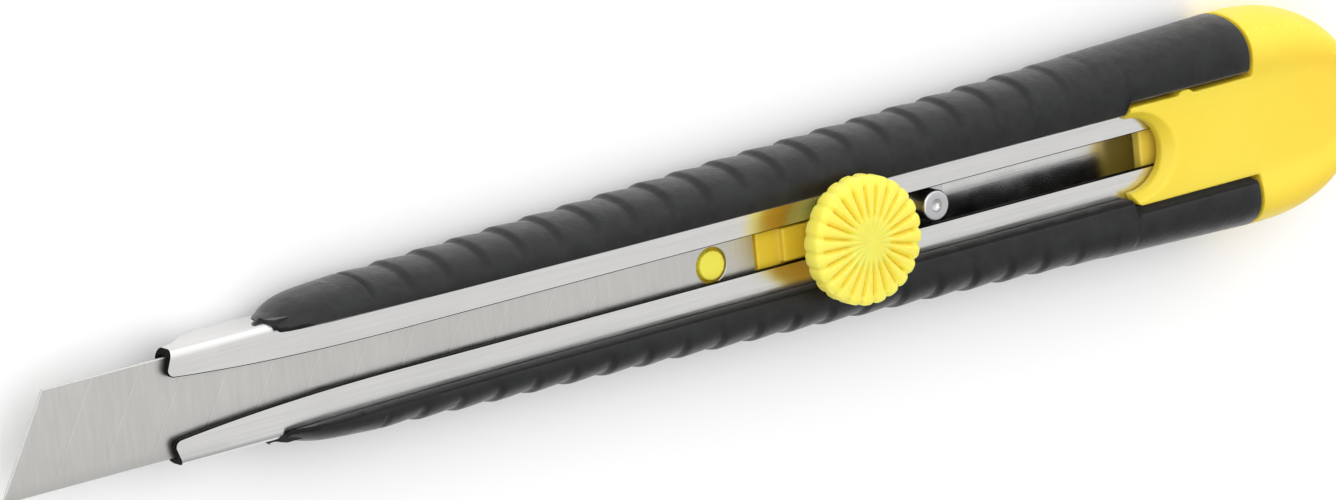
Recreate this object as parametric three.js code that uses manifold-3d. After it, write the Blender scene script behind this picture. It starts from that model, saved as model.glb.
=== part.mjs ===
// A 9 mm snap-off utility knife with a locking wheel, lying on its back.
// Millimetres. +X runs from the blade's point to the end cap, +Y to the blade's spine, +Z up
// through the wheel.
// The pieces are laid out from the blade's point at X = 0, and the whole knife is then centred on X.
import * as THREE from "three";
import { mergeVertices } from "three/addons/utils/BufferGeometryUtils.js";
import Module from "manifold-3d";

const wasm = await Module();
wasm.setup();

// ---------- driving dimensions ----------
const KNIFE_LENGTH = 148.2;
const GAP = 0.3; // between pieces of the handle that touch on the real knife
const PLAY = 0.15; // between pieces that slide on each other

const BLADE_LENGTH = 80;
const BLADE_WIDTH = 9;
const BLADE_THICK = 0.4;
const BLADE_FACE_Z = 6;
const SEGMENT_PITCH = 5;
const SEGMENT_COUNT = 13;
const SEGMENT_ANGLE = THREE.MathUtils.degToRad(60);
const SCORE_DEPTH = 0.12;
const SCORE_WIDTH = 0.3;
const EDGE_BEVEL = 1.2; // width of the ground bevel along the cutting edge
const EDGE_LAND = 0.04; // thickness left at the cutting edge
const BLADE_HOLE_X = 75.3;
const BLADE_HOLE_Y = -0.25;
const BLADE_HOLE_R = 1.65;

const SHEET = 0.6; // thickness of the channel's steel
const CHANNEL_HALF_WIDTH = 5.2;
const CHANNEL_BACK_Z = 2;
const LIP_TOP_Z = 6.8;
const SLOT_HALF_WIDTH = 1.85;
const BEND_RADIUS = 0.75;
const CHANNEL_NOSE_X = 16.8;
const CHANNEL_REAR_X = 141; // inside the cap
const NOSE_SLOT_HALF_WIDTH = 2.85;
const FLARE_LENGTH = 25;
const PINCH_LENGTH = 5.4; // the nose is pressed flatter over this length
const PINCH_LIFT = 2.4;
const NOSE_SLANT = 1.2; // how far the nose's outer corners stand back
const NOSE_SLANT_Y = 2; // the slant starts this far from the middle

const GRIP_TIP_X = 27.4;
const GRIP_REAR_X = 135;
const REAR_HALF_WIDTH = 10.05;
// [X, half of the handle's width], without the ridges
const HANDLE_PLAN = [
  [GRIP_TIP_X, 5.65],
  [28.4, 5.65],
  [29.1, 5.7],
  [29.7, 5.85],
  [30.4, 6.1],
  [31.2, 6.35],
  [32.2, 6.55],
  [33.6, 6.7],
  [36, 6.85],
  [38, 6.97],
  [GRIP_REAR_X, REAR_HALF_WIDTH],
];
const GRIP_UNDER_Z = 0.25;
const GRIP_FRONT_TOP_Z = 8.4;
const GRIP_REAR_TOP_Z = 9.2;
const MIDDLE_HEIGHT = 0.95; // of the handle's section beside its crowned sides
// [X, Y of the grips' edge beside the open slot]
const GRIP_INNER_EDGE = [
  [GRIP_TIP_X, 4.6],
  [35, 4.37],
  [48, 4.13],
  [70, 4.01],
  [GRIP_REAR_X, 3.97],
];
const TONGUE_BAY_Y = 5.05; // edge of the grips beside the cap's tongue
const RIDGE_PITCH = 4;
const RIDGE_COUNT = 21;
const RIDGE_START_X = 38;
const RIDGE_DEPTH = 0.35;
const RIDGE_RISE = 0.5; // length of each ridge's steep face
const TIP_ROUND_LENGTH = 7; // the grips' underside and face round off over this length
const TIP_UNDER_LIFT = 4.6;
const TIP_TOP_DROP = 1.6;
const TIP_CUT_X = 27.7; // outer end of the slanted front edge of a grip's face
const TIP_CUT_Y = 6.1;
const TIP_CUT_SLANT = 0.68;
const TIP_CUT_Z = 5.8;

const CORE_HALF_WIDTH = 6.1;
const CORE_TOP_Z = 6.3;
const CORE_CHAMFER = 1.7;
const CORE_NOSE_X = 36;

const CAP_FRONT_X = GRIP_REAR_X + GAP;
const CAP_TURN_X = 135.8; // the cap's round end starts here
const CAP_END_WIDTH = 0.22; // width left flat at the very end, as a share of the full width
const CAP_END_HEIGHT = 0.4; // the same for its height
const TONGUE_FRONT_X = 121;
const TONGUE_HALF_WIDTH = 4.65;
const TONGUE_TOP_Z = THREE.MathUtils.lerp(GRIP_UNDER_Z, GRIP_REAR_TOP_Z, MIDDLE_HEIGHT);
const PLUG_FRONT_X = 123.2;
const PLUG_HALF_WIDTH = 4.4;
const BITE_LENGTH = 3.9;
const BITE_HALF_WIDTH = 3.5;
const NIB_X = 127.6;
const NIB_R = 0.8;

const SLIDER_FRONT_X = 70.5;
const SLIDER_REAR_X = 95.6;
const SLIDER_HALF_WIDTH = 4.45;
const SLIDER_UNDER_Z = 2.9;
const BOSS_R = 1.35;
const SLOT_RIB_TOP_Z = 6.7;
const SLOT_RIB_LENGTH = 11;
const SLOT_RIB_HALF_WIDTH = 1.55;
const PLATE_ROOF_Z = 4.55; // roof of the slider's pocket for the plate and the screw's head

const WHEEL_X = 88.3;
const WHEEL_R = 6.05;
const WHEEL_UNDER_Z = 10.4;
const WHEEL_EDGE_Z = 12.2;
const WHEEL_CROWN_Z = 12.7;
const WHEEL_TEETH = 24;
const WHEEL_CHAMFER = 0.3;
const GROOVE_DEPTH = 0.35;
const GROOVE_WIDTH = 0.45;
const GROOVE_START_R = 1.86;
const GROOVE_END_R = 5.2;
const NICK_R = 0.45;
const NICK_CENTRE_R = 6.3;
const HUB_R = 3.2;

const SCREW_R = 1.5;
const SCREW_TOP_Z = 10.9;
const SCREW_HEAD_WIDTH = 4.8;
const SCREW_HEAD_Z = 3.35;
const SCREW_HEAD_THICK = 0.55;
const SCREW_HOLE_R = SCREW_R + PLAY;
const INSERT_R = 2.3;
const INSERT_BORE_R = 1.57;
const INSERT_FLOOR_Z = 7.3;
const INSERT_TOP_Z = 11.1;

const PLATE_THICK = 0.5;
const PLATE_UNDER_Z = 3.95;
const PLATE_FRONT_X = 84;
const PLATE_REAR_X = 102.4;
const PLATE_HALF_WIDTH = 3.9;
const PIN_X = 99.7;
const PIN_R = 1.45;
const PIN_TOP_Z = 7.1;
const PIN_STEM_R = 0.75;
const RIVET_R = 1.15; // the stem's flattened end under the plate
const RIVET_THICK = 0.4;
const DIMPLE_R = 0.55;
const DIMPLE_DEPTH = 0.4;

// ---------- materials ----------
function material(name, color, roughness, metalness) {
  return new THREE.MeshStandardMaterial({ name, color, roughness, metalness });
}

const steel = (name) => material(name, 0xcfcfcc, 0.3, 1);
const yellow = (name) => material(name, 0xf8dc4b, 0.45, 0);
const rubber = (name) => material(name, 0x3d3e40, 0.75, 0);

// ---------- solids ----------
// A closed geometry as a solid that can be joined and cut.
function solid(geometry) {
  const bare = geometry.clone();
  bare.deleteAttribute("normal");
  bare.deleteAttribute("uv");
  const merged = mergeVertices(bare, 1e-4);
  const vertProperties = new Float32Array(merged.attributes.position.array);
  const triVerts = new Uint32Array(merged.index.array);
  return new wasm.Manifold(new wasm.Mesh({ numProp: 3, vertProperties, triVerts }));
}

function meshOf(name, body, look) {
  const { vertProperties, triVerts } = body.getMesh();
  const shared = new THREE.BufferGeometry();
  shared.setAttribute("position", new THREE.BufferAttribute(vertProperties, 3));
  shared.setIndex(new THREE.BufferAttribute(triVerts, 1));
  const geometry = shared.toNonIndexed();
  geometry.computeVertexNormals();
  const mesh = new THREE.Mesh(geometry, look);
  mesh.name = name;
  return mesh;
}

function block(x0, x1, y0, y1, z0, z1) {
  const box = new THREE.BoxGeometry(x1 - x0, y1 - y0, z1 - z0);
  box.translate((x0 + x1) / 2, (y0 + y1) / 2, (z0 + z1) / 2);
  return solid(box);
}

// A block that is centred on the knife's middle plane.
const bar = (x0, x1, halfWidth, z0, z1) => block(x0, x1, -halfWidth, halfWidth, z0, z1);

// A round post along Z.
function post(x, y, radius, z0, z1, sides = 32) {
  const round = new THREE.CylinderGeometry(radius, radius, z1 - z0, sides);
  round.rotateX(Math.PI / 2);
  round.translate(x, y, (z0 + z1) / 2);
  return solid(round);
}

// A plan outline raised from z0 to z1.
function slab(shape, z0, z1) {
  const geometry = new THREE.ExtrudeGeometry(shape, {
    depth: z1 - z0,
    curveSegments: 12,
    bevelEnabled: false,
  });
  geometry.translate(0, 0, z0);
  return solid(geometry);
}

// A Y-Z section swept through the given stations on X. warp may reshape the section at each station.
function loft(section, stations, warp = (x, y, z) => [y, z]) {
  const geometry = new THREE.ExtrudeGeometry(section, {
    depth: stations.length - 1,
    steps: stations.length - 1,
    curveSegments: 5,
    bevelEnabled: false,
  });
  const points = geometry.attributes.position;
  for (let i = 0; i < points.count; i++) {
    const x = stations[Math.round(points.getZ(i))];
    const [y, z] = warp(x, points.getX(i), points.getY(i));
    points.setXYZ(i, x, y, z);
  }
  return solid(geometry);
}

// A profile of [radius, z] points turned about the upright axis through x.
function turned(profile, x, sides = 48) {
  const points = profile.map(([radius, z]) => new THREE.Vector2(radius, z));
  const lathe = new THREE.LatheGeometry(points, sides);
  lathe.rotateX(Math.PI / 2);
  lathe.translate(x, 0, 0);
  return solid(lathe);
}

function outline(points) {
  return new THREE.Shape(points.map(([x, y]) => new THREE.Vector2(x, y)));
}

// ---------- blade ----------
const halfBlade = BLADE_WIDTH / 2;
const bladeBackZ = BLADE_FACE_Z - BLADE_THICK;
const slant = BLADE_WIDTH / Math.tan(SEGMENT_ANGLE);

function scoreLine(index) {
  const groove = new THREE.BoxGeometry(SCORE_WIDTH, 2 * BLADE_WIDTH, 2 * SCORE_DEPTH);
  groove.rotateZ(SEGMENT_ANGLE - Math.PI / 2);
  groove.translate(index * SEGMENT_PITCH + slant / 2, 0, BLADE_FACE_Z);
  return solid(groove);
}

// What grinding takes off one face along the cutting edge. side is 1 for the front face, -1 for the back.
function groundWedge(faceZ, side) {
  const depth = (BLADE_THICK - EDGE_LAND) / 2;
  const section = outline([
    [-halfBlade - EDGE_BEVEL, faceZ - 2 * side * depth],
    [-halfBlade + EDGE_BEVEL, faceZ],
    [-halfBlade - EDGE_BEVEL, faceZ + side],
  ]);
  return loft(section, [-1, BLADE_LENGTH + 1]);
}

function blade() {
  const plan = outline([
    [0, -halfBlade],
    [BLADE_LENGTH, -halfBlade],
    [BLADE_LENGTH, halfBlade],
    [slant, halfBlade],
  ]);
  let body = slab(plan, bladeBackZ, BLADE_FACE_Z);
  for (let i = 1; i < SEGMENT_COUNT; i++) body = body.subtract(scoreLine(i));
  body = body.subtract(groundWedge(BLADE_FACE_Z, 1));
  body = body.subtract(groundWedge(bladeBackZ, -1));
  body = body.subtract(post(BLADE_HOLE_X, BLADE_HOLE_Y, BLADE_HOLE_R, bladeBackZ - 1, BLADE_FACE_Z + 1));
  return meshOf("blade", body, material("blade_steel", 0xc4c4bd, 0.28, 1));
}

// ---------- steel channel ----------
// The channel's outer section, or its hollow where inset is the sheet's thickness.
function channelSection(inset) {
  const y = CHANNEL_HALF_WIDTH - inset;
  const z0 = CHANNEL_BACK_Z + inset;
  const z1 = LIP_TOP_Z - inset;
  const r = BEND_RADIUS - inset;
  const shape = new THREE.Shape();
  shape.absarc(y - r, z0 + r, r, -Math.PI / 2, 0);
  shape.absarc(y - r, z1 - r, r, 0, Math.PI / 2);
  shape.absarc(-y + r, z1 - r, r, Math.PI / 2, Math.PI);
  shape.absarc(-y + r, z0 + r, r, Math.PI, 1.5 * Math.PI);
  return shape;
}

// The slot's plan: parallel along the handle, flared where it opens at the nose.
function slotPlan() {
  const shape = new THREE.Shape();
  const mouthX = CHANNEL_NOSE_X - 2;
  const mouthY = NOSE_SLOT_HALF_WIDTH + 1;
  const bendX = CHANNEL_NOSE_X + FLARE_LENGTH * 0.3;
  const flareEndX = CHANNEL_NOSE_X + FLARE_LENGTH;
  shape.moveTo(CHANNEL_REAR_X + 1, -SLOT_HALF_WIDTH);
  shape.lineTo(CHANNEL_REAR_X + 1, SLOT_HALF_WIDTH);
  shape.lineTo(flareEndX, SLOT_HALF_WIDTH);
  shape.quadraticCurveTo(bendX, SLOT_HALF_WIDTH, CHANNEL_NOSE_X, NOSE_SLOT_HALF_WIDTH);
  shape.lineTo(mouthX, mouthY);
  shape.lineTo(mouthX, -mouthY);
  shape.lineTo(CHANNEL_NOSE_X, -NOSE_SLOT_HALF_WIDTH);
  shape.quadraticCurveTo(bendX, -SLOT_HALF_WIDTH, flareEndX, -SLOT_HALF_WIDTH);
  return shape;
}

// Takes one front corner of the channel back by a slight slant.
function noseCorner(side) {
  const corner = outline([
    [CHANNEL_NOSE_X - 1, side * NOSE_SLANT_Y],
    [CHANNEL_NOSE_X + NOSE_SLANT, side * (CHANNEL_HALF_WIDTH + GAP)],
    [CHANNEL_NOSE_X - 1, side * (CHANNEL_HALF_WIDTH + GAP)],
  ]);
  return slab(corner, CHANNEL_BACK_Z - 1, LIP_TOP_Z + 1);
}

// Lifts the channel's back towards the blade at the nose, and leaves the lips as they are.
function pinch(x, y, z) {
  const t = THREE.MathUtils.clamp((x - CHANNEL_NOSE_X) / PINCH_LENGTH, 0, 1);
  const isBack = z < (CHANNEL_BACK_Z + LIP_TOP_Z) / 2;
  return [y, isBack ? z + PINCH_LIFT * (1 - THREE.MathUtils.smoothstep(t, 0, 1)) : z];
}

function steelChannel() {
  const nose = [0, 0.2, 0.4, 0.6, 0.8, 1].map((t) => CHANNEL_NOSE_X + PINCH_LENGTH * t);
  const outside = loft(channelSection(0), [...nose, CHANNEL_REAR_X], pinch);
  const inside = [CHANNEL_NOSE_X - 1, ...nose, CHANNEL_REAR_X + 1];
  let body = outside.subtract(loft(channelSection(SHEET), inside, pinch));
  body = body.subtract(slab(slotPlan(), LIP_TOP_Z - SHEET - PLAY, LIP_TOP_Z + 1));
  body = body.subtract(noseCorner(1));
  body = body.subtract(noseCorner(-1));
  return meshOf("steel_channel", body, steel("channel_steel"));
}

// ---------- handle ----------
// Half of the handle's width at x, without the ridges.
function handleHalfWidth(x) {
  const next = Math.max(1, HANDLE_PLAN.findIndex(([planX]) => planX >= x));
  const [x0, y0] = HANDLE_PLAN[next - 1];
  const [x1, y1] = HANDLE_PLAN[next];
  return THREE.MathUtils.mapLinear(x, x0, x1, y0, y1);
}

// 1 at the grips' front tips, falling to 0 where the handle has its full height.
function tipRounding(x) {
  const t = THREE.MathUtils.clamp((x - GRIP_TIP_X) / TIP_ROUND_LENGTH, 0, 1);
  return 1 - Math.sqrt(1 - (1 - t) * (1 - t));
}

function handleTopZ(x) {
  const t = (x - GRIP_TIP_X) / (GRIP_REAR_X - GRIP_TIP_X);
  return THREE.MathUtils.lerp(GRIP_FRONT_TOP_Z, GRIP_REAR_TOP_Z, t) - TIP_TOP_DROP * tipRounding(x);
}

function handleUnderZ(x) {
  return GRIP_UNDER_Z + TIP_UNDER_LIFT * tipRounding(x);
}

// The handle's section, 1 wide to each side and 1 high, crowned beside the middle.
function handleSection() {
  const shape = new THREE.Shape();
  shape.moveTo(-0.7, 0);
  shape.lineTo(0.7, 0);
  shape.bezierCurveTo(0.9, 0, 1, 0.19, 1, 0.42);
  shape.bezierCurveTo(1, 0.76, 0.88, 1, 0.66, 1);
  shape.lineTo(0.36, MIDDLE_HEIGHT);
  shape.lineTo(-0.36, MIDDLE_HEIGHT);
  shape.lineTo(-0.66, 1);
  shape.bezierCurveTo(-0.88, 1, -1, 0.76, -1, 0.42);
  shape.bezierCurveTo(-1, 0.19, -0.9, 0, -0.7, 0);
  return shape;
}

// Stations along the grips: those of the plan round the nose, then three for each ridge.
function gripStations() {
  const stations = HANDLE_PLAN.map(([x]) => x).filter((x) => x < RIDGE_START_X);
  for (let i = 0; i < RIDGE_COUNT; i++) {
    const x = RIDGE_START_X + i * RIDGE_PITCH;
    stations.push(x, x + RIDGE_RISE, x + RIDGE_PITCH / 2);
  }
  stations.push(RIDGE_START_X + RIDGE_COUNT * RIDGE_PITCH, GRIP_REAR_X);
  return stations;
}

// How far the side stands below the ridge tops at x: scales with a steep face towards the blade.
function ridgeDrop(x) {
  const along = (x - RIDGE_START_X) / RIDGE_PITCH;
  if (along <= 0 || along >= RIDGE_COUNT) return 0;
  const t = along - Math.floor(along);
  const rise = RIDGE_RISE / RIDGE_PITCH;
  return RIDGE_DEPTH * (t < rise ? 1 - t / rise : (t - rise) / (1 - rise));
}

// Both grips in one body, before the channel, the core and the middle are cut out of it.
function gripEnvelope() {
  return loft(handleSection(), gripStations(), (x, y, z) => [
    y * (handleHalfWidth(x) - ridgeDrop(x)),
    THREE.MathUtils.lerp(handleUnderZ(x), handleTopZ(x), z),
  ]);
}

// Everything that the grips leave free: the slot's strip, the tongue's bay, the channel and the core.
function gripHollow() {
  const top = GRIP_REAR_TOP_Z + 1;
  const rear = GRIP_REAR_X + 1;
  const [[, frontY], [, rearY]] = [GRIP_INNER_EDGE[0], GRIP_INNER_EDGE.at(-1)];
  const edge = [[GRIP_TIP_X - 1, frontY], ...GRIP_INNER_EDGE, [rear, rearY]];
  const mirrored = edge.map(([x, y]) => [x, -y]).reverse();
  const strip = slab(outline([...edge, ...mirrored]), -1, top);
  const bay = bar(TONGUE_FRONT_X - GAP, rear, TONGUE_BAY_Y, LIP_TOP_Z - 1, top);
  const channel = bar(GRIP_TIP_X - 1, rear, CHANNEL_HALF_WIDTH + GAP, -1, LIP_TOP_Z + PLAY);
  const core = bar(CORE_NOSE_X - GAP, rear, CORE_HALF_WIDTH + GAP, -1, CORE_TOP_Z + GAP);
  return strip.add(bay).add(channel).add(core);
}

// The slanted front end of a grip's inner edge.
function gripFrontCut(side) {
  const innerY = GRIP_INNER_EDGE[0][1] - 1;
  const plan = outline([
    [GRIP_TIP_X - 1, side * innerY],
    [TIP_CUT_X + (TIP_CUT_Y - innerY) * TIP_CUT_SLANT, side * innerY],
    [TIP_CUT_X, side * TIP_CUT_Y],
    [GRIP_TIP_X - 1, side * TIP_CUT_Y],
  ]);
  return slab(plan, TIP_CUT_Z, GRIP_REAR_TOP_Z + 1);
}

function grip(name, side) {
  const far = REAR_HALF_WIDTH + 1;
  const [y0, y1] = side > 0 ? [0, far] : [-far, 0];
  const half = block(GRIP_TIP_X - 1, GRIP_REAR_X + 1, y0, y1, -1, GRIP_REAR_TOP_Z + 1);
  let body = gripEnvelope().intersect(half).subtract(gripHollow());
  body = body.subtract(gripFrontCut(side));
  return meshOf(name, body, rubber(name + "_rubber"));
}

// The rigid body that holds the channel from behind.
function handleCore() {
  const y = CORE_HALF_WIDTH;
  const section = outline([
    [-y + CORE_CHAMFER, 0],
    [y - CORE_CHAMFER, 0],
    [y, CORE_CHAMFER],
    [y, CORE_TOP_Z],
    [-y, CORE_TOP_Z],
    [-y, CORE_CHAMFER],
  ]);
  const channelY = CHANNEL_HALF_WIDTH + GAP;
  const tray = bar(CORE_NOSE_X - 1, GRIP_REAR_X + 1, channelY, CHANNEL_BACK_Z - GAP, CORE_TOP_Z + 1);
  const body = loft(section, [CORE_NOSE_X, GRIP_REAR_X]).subtract(tray);
  return meshOf("handle_core", body, material("core_plastic", 0x2c2d2f, 0.6, 0));
}

// ---------- end cap ----------
// Shrinks the handle's section to nothing round the cap's end, less in height than in width.
function capWarp(x, y, z) {
  const t = Math.max(0, (x - CAP_TURN_X) / (KNIFE_LENGTH - CAP_TURN_X));
  const round = Math.sqrt(Math.max(0, 1 - t * t));
  const width = REAR_HALF_WIDTH * Math.max(CAP_END_WIDTH, round);
  const midZ = (GRIP_UNDER_Z + GRIP_REAR_TOP_Z) / 2;
  const height = (midZ - GRIP_UNDER_Z) * Math.max(CAP_END_HEIGHT, Math.sqrt(round));
  return [y * width, midZ + (2 * z - 1) * height];
}

function capStations() {
  const steps = 12;
  const stations = [CAP_FRONT_X];
  for (let i = 0; i <= steps; i++) {
    const turn = (i / steps) * (Math.PI / 2);
    stations.push(CAP_TURN_X + (KNIFE_LENGTH - CAP_TURN_X) * Math.sin(turn));
  }
  return stations;
}

// The tongue over the channel, with a bite out of its front edge.
function tongue() {
  const under = LIP_TOP_Z + PLAY;
  const plate = bar(TONGUE_FRONT_X, CAP_TURN_X, TONGUE_HALF_WIDTH, under, TONGUE_TOP_Z);
  const bitePlan = new THREE.Shape();
  bitePlan.absellipse(TONGUE_FRONT_X, 0, BITE_LENGTH, BITE_HALF_WIDTH, 0, 2 * Math.PI);
  const bite = slab(bitePlan, under - 1, TONGUE_TOP_Z + 1);
  const nib = post(NIB_X, TONGUE_HALF_WIDTH - NIB_R + GAP, NIB_R, under, TONGUE_TOP_Z, 16);
  return plate.subtract(bite).add(nib);
}

// The cap takes the channel's rear end between its tongue and a plug that goes inside the channel.
function endCap() {
  const socketEndX = CHANNEL_REAR_X + GAP;
  const socketY = CHANNEL_HALF_WIDTH + GAP;
  const socket = bar(CAP_FRONT_X - 1, socketEndX, socketY, CHANNEL_BACK_Z - GAP, LIP_TOP_Z + PLAY);
  const floorZ = CHANNEL_BACK_Z + SHEET + GAP;
  const roofZ = LIP_TOP_Z - SHEET - GAP;
  const plug = bar(PLUG_FRONT_X, socketEndX + 1, PLUG_HALF_WIDTH, floorZ, roofZ);
  const shell = loft(handleSection(), capStations(), capWarp).subtract(socket);
  return meshOf("end_cap", shell.add(tongue()).add(plug), yellow("cap_plastic"));
}

// ---------- slider, which carries the blade ----------
function bladeSlider() {
  const y = SLIDER_HALF_WIDTH;
  const bed = bar(SLIDER_FRONT_X, SLIDER_REAR_X, y, SLIDER_UNDER_Z, bladeBackZ - PLAY);
  const back = bar(BLADE_LENGTH + GAP, SLIDER_REAR_X, y, SLIDER_UNDER_Z, LIP_TOP_Z - SHEET - PLAY);
  const ribFront = WHEEL_X - SLOT_RIB_LENGTH / 2;
  const ribRear = WHEEL_X + SLOT_RIB_LENGTH / 2;
  const rib = bar(ribFront, ribRear, SLOT_RIB_HALF_WIDTH, SLIDER_UNDER_Z, SLOT_RIB_TOP_Z);
  const boss = post(BLADE_HOLE_X, BLADE_HOLE_Y, BOSS_R, SLIDER_UNDER_Z, BLADE_FACE_Z + PLAY);
  const pocket = bar(PLATE_FRONT_X - GAP, SLIDER_REAR_X + 1, PLATE_HALF_WIDTH + PLAY, 0, PLATE_ROOF_Z);
  const screwHole = post(WHEEL_X, 0, SCREW_HOLE_R, 0, LIP_TOP_Z);
  const body = bed.add(back).add(rib).add(boss).subtract(pocket).subtract(screwHole);
  return meshOf("blade_slider", body, yellow("slider_plastic"));
}

function carrierPlate() {
  const topZ = PLATE_UNDER_Z + PLATE_THICK;
  let body = bar(PLATE_FRONT_X, PLATE_REAR_X, PLATE_HALF_WIDTH, PLATE_UNDER_Z, topZ);
  body = body.subtract(post(WHEEL_X, 0, SCREW_HOLE_R, 0, LIP_TOP_Z));
  body = body.subtract(post(PIN_X, 0, PIN_STEM_R + PLAY, 0, LIP_TOP_Z, 16));
  return meshOf("carrier_plate", body, steel("plate_steel"));
}

function guidePin() {
  const shoulderZ = PLATE_UNDER_Z + PLATE_THICK + PLAY;
  const headZ = PLATE_UNDER_Z - PLAY;
  const profile = [
    [0, headZ - RIVET_THICK],
    [RIVET_R, headZ - RIVET_THICK],
    [RIVET_R, headZ],
    [PIN_STEM_R, headZ],
    [PIN_STEM_R, shoulderZ],
    [PIN_R, shoulderZ],
    [PIN_R, PIN_TOP_Z - 0.2],
    [PIN_R - 0.2, PIN_TOP_Z],
    [DIMPLE_R, PIN_TOP_Z],
    [DIMPLE_R - 0.15, PIN_TOP_Z - DIMPLE_DEPTH],
    [0, PIN_TOP_Z - DIMPLE_DEPTH],
  ];
  return meshOf("guide_pin", turned(profile, PIN_X, 32), steel("pin_steel"));
}

// ---------- locking wheel ----------
function wheelBlank() {
  const profile = [
    [0, LIP_TOP_Z + PLAY],
    [HUB_R, LIP_TOP_Z + PLAY],
    [HUB_R, WHEEL_UNDER_Z],
    [WHEEL_R - WHEEL_CHAMFER, WHEEL_UNDER_Z],
    [WHEEL_R, WHEEL_UNDER_Z + WHEEL_CHAMFER],
    [WHEEL_R, WHEEL_EDGE_Z - WHEEL_CHAMFER],
    [WHEEL_R - WHEEL_CHAMFER, WHEEL_EDGE_Z],
    [WHEEL_R * 0.6, WHEEL_CROWN_Z - 0.12],
    [WHEEL_R * 0.25, WHEEL_CROWN_Z],
    [0, WHEEL_CROWN_Z],
  ];
  return turned(profile, WHEEL_X, 4 * WHEEL_TEETH);
}

// One radial groove in the wheel's crown and the nick that it makes in the rim.
function wheelGroove(index) {
  const angle = (index * 2 * Math.PI) / WHEEL_TEETH;
  const groove = new THREE.BoxGeometry(GROOVE_END_R - GROOVE_START_R, GROOVE_WIDTH, 2);
  groove.translate((GROOVE_START_R + GROOVE_END_R) / 2, 0, WHEEL_CROWN_Z - GROOVE_DEPTH + 1);
  groove.rotateZ(angle);
  groove.translate(WHEEL_X, 0, 0);
  const nickX = WHEEL_X + NICK_CENTRE_R * Math.cos(angle);
  const nickY = NICK_CENTRE_R * Math.sin(angle);
  return solid(groove).add(post(nickX, nickY, NICK_R, WHEEL_UNDER_Z - 1, WHEEL_CROWN_Z + 1, 12));
}

function thumbWheel() {
  const seat = post(WHEEL_X, 0, INSERT_R + PLAY, 0, INSERT_TOP_Z + PLAY);
  let body = wheelBlank().subtract(seat);
  for (let i = 0; i < WHEEL_TEETH; i++) body = body.subtract(wheelGroove(i));
  return meshOf("thumb_wheel", body, yellow("wheel_plastic"));
}

function wheelInsert() {
  const outer = post(WHEEL_X, 0, INSERT_R, INSERT_FLOOR_Z, INSERT_TOP_Z);
  const bore = post(WHEEL_X, 0, INSERT_BORE_R, 0, INSERT_TOP_Z + 1);
  return meshOf("wheel_insert", outer.subtract(bore), material("insert_brass", 0xb8964a, 0.35, 1));
}

function clampScrew() {
  const half = SCREW_HEAD_WIDTH / 2;
  const headTop = SCREW_HEAD_Z + SCREW_HEAD_THICK;
  const head = bar(WHEEL_X - half, WHEEL_X + half, half, SCREW_HEAD_Z, headTop);
  const stud = post(WHEEL_X, 0, SCREW_R, SCREW_HEAD_Z, SCREW_TOP_Z);
  return meshOf("clamp_screw", head.add(stud), steel("screw_steel"));
}

// ---------- the knife ----------
const handle = new THREE.Group();
handle.add(steelChannel(), handleCore(), grip("upper_grip", 1), grip("lower_grip", -1));

const slider = new THREE.Group();
slider.add(blade(), bladeSlider(), carrierPlate(), guidePin());

const lock = new THREE.Group();
lock.add(thumbWheel(), wheelInsert(), clampScrew());

const knife = new THREE.Group();
knife.name = "utility_knife";
knife.add(handle, endCap(), slider, lock);
knife.position.x = -KNIFE_LENGTH / 2;

export default knife;
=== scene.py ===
import math

import bmesh
import bpy
from mathutils import Matrix, Vector


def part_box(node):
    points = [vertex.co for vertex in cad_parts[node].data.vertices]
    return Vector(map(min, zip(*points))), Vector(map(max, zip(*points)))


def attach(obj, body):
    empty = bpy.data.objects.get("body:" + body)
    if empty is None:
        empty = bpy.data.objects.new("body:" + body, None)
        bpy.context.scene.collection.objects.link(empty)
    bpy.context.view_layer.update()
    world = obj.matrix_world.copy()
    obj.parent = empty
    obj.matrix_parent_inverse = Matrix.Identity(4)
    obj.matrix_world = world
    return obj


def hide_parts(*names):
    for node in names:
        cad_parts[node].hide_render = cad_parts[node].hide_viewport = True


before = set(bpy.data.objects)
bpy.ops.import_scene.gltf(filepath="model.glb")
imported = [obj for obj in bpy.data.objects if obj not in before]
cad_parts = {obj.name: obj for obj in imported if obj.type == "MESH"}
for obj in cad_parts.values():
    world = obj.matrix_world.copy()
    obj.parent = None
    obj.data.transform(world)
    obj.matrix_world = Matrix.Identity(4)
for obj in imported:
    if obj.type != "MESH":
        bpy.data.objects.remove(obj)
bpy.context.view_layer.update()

MM = 0.001
PLAY = 0.15  # between pieces that slide on each other
FIT = 0.3  # between pieces of the handle that touch

# ---------- camera, in millimetres and radians ----------
FOCAL_MM = 287.06
SENSOR_MM = 36.0
CAMERA_DISTANCE = 945.63
CAMERA_YAW = -0.59522  # from straight above towards the blade's point
CAMERA_PITCH = 0.24435  # towards the spine's side
CAMERA_ROLL = -0.09867
AIM = (-3.28, 2.17, 6.0)


def in_mm(node):
    """The lowest and highest corner of a CAD node, in millimetres."""
    lo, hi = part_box(node)
    return lo / MM, hi / MM


def mix(a, b, t):
    return a + (b - a) * t


def clamp01(t):
    return max(0.0, min(1.0, t))


def smoothstep(t):
    t = clamp01(t)
    return t * t * (3 - 2 * t)


# ---------- where the CAD puts things, in millimetres ----------
BLADE_LO, BLADE_HI = in_mm("blade")
CHANNEL_LO, CHANNEL_HI = in_mm("steel_channel")
GRIP_LO, GRIP_HI = in_mm("upper_grip")
CORE_LO, CORE_HI = in_mm("handle_core")
CAP_LO, CAP_HI = in_mm("end_cap")
SLIDER_LO, SLIDER_HI = in_mm("blade_slider")
WHEEL_LO, WHEEL_HI = in_mm("thumb_wheel")
PIN_LO, PIN_HI = in_mm("guide_pin")
POINT_X = BLADE_LO.x  # the blade's point, from which lengths along the knife are given
WHEEL_X = (WHEEL_LO.x + WHEEL_HI.x) / 2
PIN_X = (PIN_LO.x + PIN_HI.x) / 2


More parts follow.
